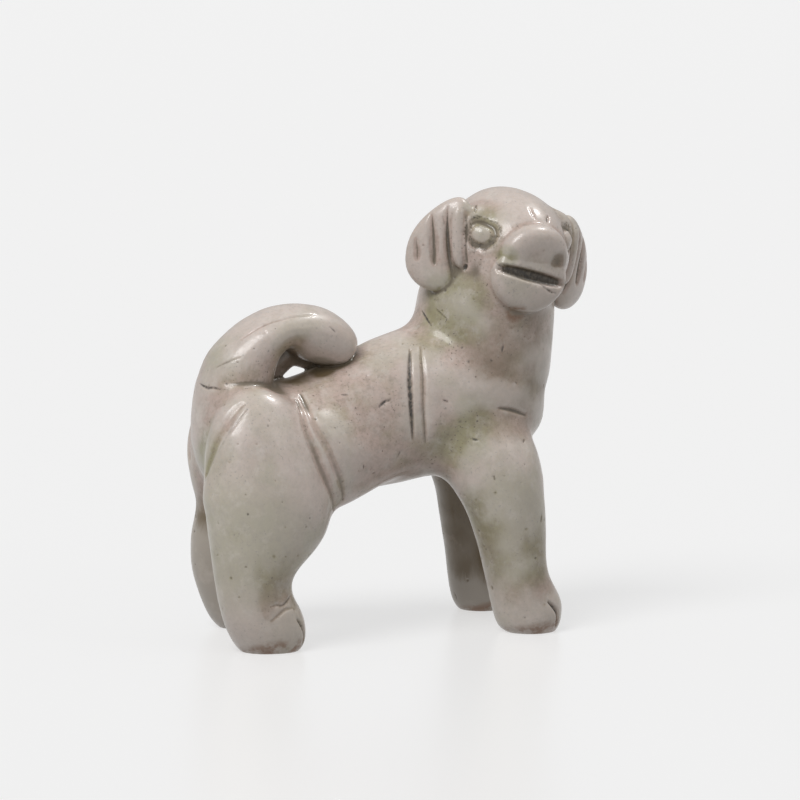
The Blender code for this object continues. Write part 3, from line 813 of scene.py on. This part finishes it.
def hollows(mesh, passes):
    """How far a smoothed copy stands off the skin at each vertex, in metres, positive in a hollow."""
    count = len(mesh.vertices)
    place = np.zeros(count * 3)
    mesh.vertices.foreach_get("co", place)
    place = place.reshape(-1, 3)
    ends = np.zeros(len(mesh.edges) * 2, dtype=np.int64)
    mesh.edges.foreach_get("vertices", ends)
    one, other = ends.reshape(-1, 2).T
    links = np.maximum(np.bincount(one, minlength=count) + np.bincount(other, minlength=count), 1)
    smooth = place.copy()
    for _ in range(passes):
        for axis in range(3):
            total = np.bincount(one, weights=smooth[other, axis], minlength=count)
            total += np.bincount(other, weights=smooth[one, axis], minlength=count)
            smooth[:, axis] = total / links
    normals = np.zeros(count * 3)
    mesh.vertices.foreach_get("normal", normals)
    return ((smooth - place) * normals.reshape(-1, 3)).sum(axis=1)


fine_hollow, wide_hollow = [hollows(dog.data, passes) for passes in POOL_PASSES]
pool = fine_hollow / (POOL_FULL[0] * STEP) + wide_hollow / (POOL_FULL[1] * STEP)
keep_on_vertices(dog.data, "pool", np.clip(pool, -1, 1))
print("hollows from", round(float(pool.min()), 2), "to", round(float(pool.max()), 2))

# %% [markdown]
# The glaze isn't even: where it is thick it is grey-green, where it is thin the clay shows
# through, pinkish. Broad greenish places lie on the lower legs, round the eyes and behind the ears,
# and browner ones on the chest, the muzzle, the far legs and under the tail. The brown on the far
# legs, on the belly and in the hollow under the tail's curl is painted shade, and on the chest it is
# partly painted shade. They are soft spots with a place and a reach, and so are the iron spots under
# the chin and round the soles.

# %% Broad places of the glaze, and of painted shade
GREEN_PLACES = (
    (-27.0, -10.0, 16.0, 13.0, 1.3),
    (-29.0, -6.0, 27.0, 7.0, 1.0),
    (-20.0, -13.0, 4.0, 8.0, 0.6),
    (14.0, -14.0, 16.0, 10.0, 1.3),
    (9.5, -10.0, 29.0, 7.0, 0.6),
    (7.0, -6.0, 47.0, 7.0, 0.8),
    (12.0, -8.0, 60.0, 5.0, 0.7),
    (-26.0, -3.0, 40.0, 5.0, 0.6),
    (20.0, 9.0, 14.0, 9.0, 0.8),
    (-20.0, 9.0, 12.0, 10.0, 0.8),
    (14.0, 8.0, 46.0, 8.0, 0.8),
    (13.6, -11.8, 54.9, 2.0, 1.3),
)
# Brown glaze, and painted shade: the far legs, the belly and the hollow under the tail's curl are darkened
# for shade, the chest partly.
BROWN_AND_SHADE_PLACES = (
    (21.4, -11.6, 54.0, 2.0, 0.9),
    (17.0, -12.5, 55.5, 4.5, 0.18),
    # the chest: brown glaze, partly painted shade
    (20.0, -9.0, 38.0, 14.0, 0.88),
    (16.0, -9.0, 12.0, 17.0, 0.48),
    # painted shade on the far fore leg
    (20.0, 8.0, 12.0, 18.0, 2.8),
    # painted shade under the belly
    (3.0, -2.0, 21.0, 10.0, 0.40),
    # painted shade on the far hind leg
    (-20.0, 9.0, 10.0, 15.0, 2.0),
    (-24.0, -11.0, 6.0, 11.0, 0.28),
    (12.0, -9.0, 46.0, 8.0, 0.08),
    # painted shade in the hollow under the tail's curl
    (-15.0, -1.2, 38.6, 3.2, 1.9),
    (-11.3, -2.0, 39.4, 2.7, 2.6),
    (-8.6, -1.6, 39.6, 2.4, 2.4),
)
RUST_PLACES = (
    (15.6, -10.5, 46.6, 2.2, 1.1),
    (-21.8, -9.6, -1.5, 6.8, 2.0),
    (18.4, -10.2, -1.5, 6.2, 2.0),
    (-17.2, 9.6, -1.5, 6.8, 2.0),
    (20.2, 9.5, -1.5, 6.2, 2.0),
)


def spots(mesh, places):
    place = np.zeros(len(mesh.vertices) * 3)
    mesh.vertices.foreach_get("co", place)
    place = place.reshape(-1, 3) / STEP - np.array(shift) / STEP
    amount = np.zeros(len(place))
    for x, y, z, reach, strength in places:
        away = np.linalg.norm(place - (x, y, z), axis=1) / reach
        amount = np.maximum(amount, strength * np.clip(1 - away ** 2, 0, 1))
    return amount


keep_on_vertices(dog.data, "green", spots(dog.data, GREEN_PLACES))
keep_on_vertices(dog.data, "brown_and_shade", spots(dog.data, BROWN_AND_SHADE_PLACES))
keep_on_vertices(dog.data, "rust", spots(dog.data, RUST_PLACES))
print("broad places:", len(GREEN_PLACES), "green,", len(BROWN_AND_SHADE_PLACES), "brown,", len(RUST_PLACES), "rusty")

# %% [markdown]
# The material is one Principled shader. Its colour is built in layers, as the glaze is: clay pink
# and celadon green, clouds of paler glaze, specks, the darker pools, the stain in the marks and the
# iron spots. The patterns read Object coordinates in metres, so a noise scale of 120 gives clouds
# of about 8 mm.

# %% Node helpers
material = bpy.data.materials.new("celadon_glaze")
material.use_nodes = True
nodes = material.node_tree.nodes
links = material.node_tree.links
shader = nodes["Principled BSDF"]
place_of = nodes.new("ShaderNodeTexCoord").outputs["Object"]


def noise(scale, detail, roughness):
    node = nodes.new("ShaderNodeTexNoise")
    node.inputs["Scale"].default_value = scale
    node.inputs["Detail"].default_value = detail
    node.inputs["Roughness"].default_value = roughness
    links.new(place_of, node.inputs["Vector"])
    return node.outputs["Fac"]


def band(value, low, high, start=0.0, end=1.0):
    """A value between low and high becomes one between start and end, eased at both ends."""
    node = nodes.new("ShaderNodeMapRange")
    node.interpolation_type = "SMOOTHSTEP"
    node.inputs["From Min"].default_value = low
    node.inputs["From Max"].default_value = high
    node.inputs["To Min"].default_value = start
    node.inputs["To Max"].default_value = end
    links.new(value, node.inputs["Value"])
    return node.outputs["Result"]


def math_node(operation, one, other):
    node = nodes.new("ShaderNodeMath")
    node.operation = operation
    for socket, value in zip(node.inputs, (one, other)):
        if isinstance(value, (int, float)):
            socket.default_value = value
        else:
            links.new(value, socket)
    return node.outputs["Value"]


def layer(amount, under, over):
    """One colour over another, by the amount."""
    node = nodes.new("ShaderNodeMix")
    node.data_type = "RGBA"
    for socket, value in ((node.inputs[0], amount), (node.inputs[6], under), (node.inputs[7], over)):
        if isinstance(value, (int, float, tuple)):
            socket.default_value = value
        else:
            links.new(value, socket)
    return node.outputs[2]


def attribute(name):
    node = nodes.new("ShaderNodeAttribute")
    node.attribute_name = name
    return node.outputs["Fac"]


print("the material starts with", len(nodes), "nodes")

# %% [markdown]
# The clouds of pale and shaded glaze come in four sizes, from 4 mm down to less than one. Their
# noises are soft, and a band keeps only the upper part of each, so that they stay apart. Brown
# places with painted shade, specks, pools, ridges, stain and iron lie over them, in this order.

# %% Colours of the glaze
THIN_GLAZE = (0.485, 0.380, 0.332, 1)
THICK_GLAZE = (0.305, 0.278, 0.168, 1)
PALE_GLAZE = (0.62, 0.575, 0.53, 1)
# this brown also paints shade on the far legs, the belly, the chest and under the tail's curl
BROWN_GLAZE_AND_SHADE = (0.148, 0.108, 0.060, 1)
SHADED_GLAZE = (0.19, 0.155, 0.115, 1)
POOLED_GLAZE = (0.135, 0.110, 0.075, 1)
STAINED_GLAZE = (0.045, 0.040, 0.036, 1)
SPECK = (0.09, 0.07, 0.055, 1)
IRON = (0.19, 0.095, 0.045, 1)
# Noise scale, detail and roughness, the band that shows, the most of the tint, and the tint.
CLOUDS = (
    (230, 5, 0.65, 0.50, 0.74, 0.42, PALE_GLAZE),
    (700, 5, 0.75, 0.46, 0.72, 0.42, SHADED_GLAZE),
    (1500, 3, 0.7, 0.40, 0.66, 0.22, SHADED_GLAZE),
    (420, 4, 0.7, 0.52, 0.70, 0.30, PALE_GLAZE),
)
SPECK_MOST = 0.85
POOL_MOST = 0.85
RIDGE_MOST = 0.45

clouds = band(noise(120, 4, 0.6), 0.38, 0.66, 0, 0.7)
green_here = math_node("ADD", clouds, attribute("green"))
colour = layer(band(green_here, 0.1, 1.2), THIN_GLAZE, THICK_GLAZE)
for scale, detail, roughness, low, high, most, tint in CLOUDS:
    colour = layer(band(noise(scale, detail, roughness), low, high, 0, most), colour, tint)
# brown glaze, mixed with painted shade on the far legs, belly, chest and under the tail's curl
brown_and_shade_here = math_node("MULTIPLY", attribute("brown_and_shade"), band(noise(160, 4, 0.6), 0.30, 0.62, 0.35, 1.0))
colour = layer(brown_and_shade_here, colour, BROWN_GLAZE_AND_SHADE)
speckled = math_node("MULTIPLY", band(noise(3000, 2, 0.5), 0.64, 0.72), band(noise(170, 3, 0.6), 0.42, 0.60))
colour = layer(math_node("MULTIPLY", speckled, SPECK_MOST), colour, SPECK)
pool_amount = band(attribute("pool"), 0.0, 1.0, 0, POOL_MOST)
colour = layer(pool_amount, colour, POOLED_GLAZE)
ridge_amount = band(attribute("pool"), -0.1, -1.0, 0, RIDGE_MOST)
colour = layer(ridge_amount, colour, PALE_GLAZE)
grit = band(noise(2000, 3, 0.6), 0.34, 0.58, 0.30, 1.0)
stain_amount = math_node("MULTIPLY", band(attribute("stain"), 0.05, 1.0), grit)
colour = layer(stain_amount, colour, STAINED_GLAZE)
rust_here = band(attribute("rust"), 0.25, 0.9)
iron_amount = math_node("MULTIPLY", rust_here, band(noise(500, 4, 0.6), 0.40, 0.60, 0.15, 0.85))
colour = layer(iron_amount, colour, IRON)
links.new(colour, shader.inputs["Base Color"])
print("the colours take", len(nodes), "nodes")

# %% [markdown]
# A gloss that is even all over looks like plastic, so the roughness wanders a little, and the
# stained marks are dull. A faint orange peel breaks the highlights' edges, and a little light goes
# in under the glaze, as it does in glass over clay.

# %% Gloss of the glaze
GLOSS = {
    "Metallic": 0,
    "Coat Weight": 0.25,
    "Coat Roughness": 0.12,
    "Subsurface Weight": 0.12,
    "Subsurface Radius": (1.0, 0.8, 0.6),
    "Subsurface Scale": 0.0012,
}
PEEL_STRENGTH = 0.25
PEEL_HEIGHT = 0.00008
SPECK_DEPTH = -0.8       # the specks are small pits in the peel
STAIN_DULLNESS = 0.3

dullness = math_node("MULTIPLY", stain_amount, STAIN_DULLNESS)
gloss = band(noise(420, 3, 0.6), 0.3, 0.7, 0.30, 0.42)
links.new(math_node("ADD", gloss, dullness), shader.inputs["Roughness"])
for socket, value in GLOSS.items():
    shader.inputs[socket].default_value = value
peel = nodes.new("ShaderNodeBump")
peel.inputs["Strength"].default_value = PEEL_STRENGTH
peel.inputs["Distance"].default_value = PEEL_HEIGHT
pits = math_node("MULTIPLY", speckled, SPECK_DEPTH)
links.new(math_node("ADD", noise(1500, 3, 0.6), pits), peel.inputs["Height"])
links.new(peel.outputs["Normal"], shader.inputs["Normal"])
dog.data.materials.clear()
dog.data.materials.append(material)
print("the glaze has", len(nodes), "nodes")

# %% [markdown]
# Nothing on the dog moves, so it rides on the body that is the whole object. It stands for the
# plain solid, which is hidden, and takes its finish from the glaze.

# %% Put the dog in the solid's place
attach(dog, "root")
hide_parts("dog")
print("in the solid's place:", dog.name)

# %% [markdown]
# The studio is as plain as the one in the photograph: a pale sheet that runs on far behind the
# dog, so that no horizon shows, under even light. The photograph's white is a plain white, so
# the colours go to the screen unchanged, without a film look.

# %% Floor
FLOOR_HALF = 8.0
WHITE = (1, 1, 1, 1)
SHEET = {
    "Base Color": (0.30, 0.30, 0.30, 1),
    "Roughness": 0.3,
    "Emission Color": WHITE,
    "Emission Strength": 0.50,      # a lit table: it softens the shadows
}


def studio():
    bm = bmesh.new()
    bmesh.ops.create_grid(bm, x_segments=1, y_segments=1, size=FLOOR_HALF)
    sheet = as_object(bm, "floor")
    paper = bpy.data.materials.new("white_sheet")
    paper.use_nodes = True
    for socket, value in SHEET.items():
        paper.node_tree.nodes["Principled BSDF"].inputs[socket].default_value = value
    sheet.visible_diffuse = False
    sheet.data.materials.append(paper)
    sheet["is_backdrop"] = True


studio()
bpy.context.scene.view_settings.view_transform = "Standard"
print("the floor is", 2 * FLOOR_HALF, "m wide")

# %% [markdown]
# The camera stands low, a little behind the dog's right shoulder, with a long lens, so that
# the legs hardly converge. Directions are an azimuth and an elevation seen from the dog.

# %% Camera
CAMERA_AZIMUTH = -23
CAMERA_ELEVATION = 7.5
CAMERA_LENS = 200
CAMERA_DISTANCE = 0.6444
CAMERA_NEAR = 0.01
LOOK_AT = Vector((0.0017, 0.0001, 0.0333))


def from_the_dog(azimuth, elevation):
    """The direction in which something stands, seen from the dog."""
    turn = math.radians(azimuth)
    rise = math.radians(elevation)
    return Vector((math.sin(turn) * math.cos(rise), -math.cos(turn) * math.cos(rise), math.sin(rise)))


camera = bpy.data.objects.new("camera", bpy.data.cameras.new("camera"))
bpy.context.scene.collection.objects.link(camera)
camera.data.lens = CAMERA_LENS
camera.data.clip_start = CAMERA_NEAR
backward = from_the_dog(CAMERA_AZIMUTH, CAMERA_ELEVATION)
camera.location = LOOK_AT + backward * CAMERA_DISTANCE
camera.rotation_mode = "QUATERNION"
camera.rotation_quaternion = (-backward).to_track_quat("-Z", "Y")
bpy.context.scene.camera = camera
print("the camera stands at", tuple(camera.location))

# %% [markdown]
# A wide key light from the left gives the soft sheen on thigh and flank, a faint one fills the
# right side, and a small one behind the dog draws the bright edges on tail and forehead. That
# last one throws no shadow, because the photograph shows none towards the viewer.

# %% Lights
# Azimuth from the camera, elevation, width in degrees, power, and whether it throws a shadow.
LIGHTS = {
    "key": (-38, 52, 30, 1.95, True),
    "side": (60, 35, 16, 0.1, True),
    "top": (128, 56, 6, 1.0, False),
}
WORLD_LIGHT = 0.42


def soft_light(name, azimuth, elevation, width, power, casts_shadow):
    """A light far away that is `width` degrees wide, so that it falls evenly on the whole floor."""
    light = bpy.data.lights.new(name, "SUN")
    light.use_shadow = casts_shadow
    light.angle = math.radians(width)
    light.energy = power
    lamp = bpy.data.objects.new(name, light)
    bpy.context.scene.collection.objects.link(lamp)
    lamp.rotation_mode = "QUATERNION"
    lamp.rotation_quaternion = from_the_dog(azimuth, elevation).to_track_quat("Z", "Y")


for name, (turn, rise, width, power, casts_shadow) in LIGHTS.items():
    soft_light(name, CAMERA_AZIMUTH + turn, rise, width, power, casts_shadow)
world = bpy.data.worlds.new("studio")
world.use_nodes = True
world.node_tree.nodes["Background"].inputs["Color"].default_value = WHITE
world.node_tree.nodes["Background"].inputs["Strength"].default_value = WORLD_LIGHT
bpy.context.scene.world = world
print("lights:", ", ".join(LIGHTS))

# %% [markdown]
# The skin is meant to stay inside the solid, so the last call prints the box that it fills.

# %% Sizes for the last look, and the end
low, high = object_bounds()
print("the skin reaches from", tuple(low), "to", tuple(high))
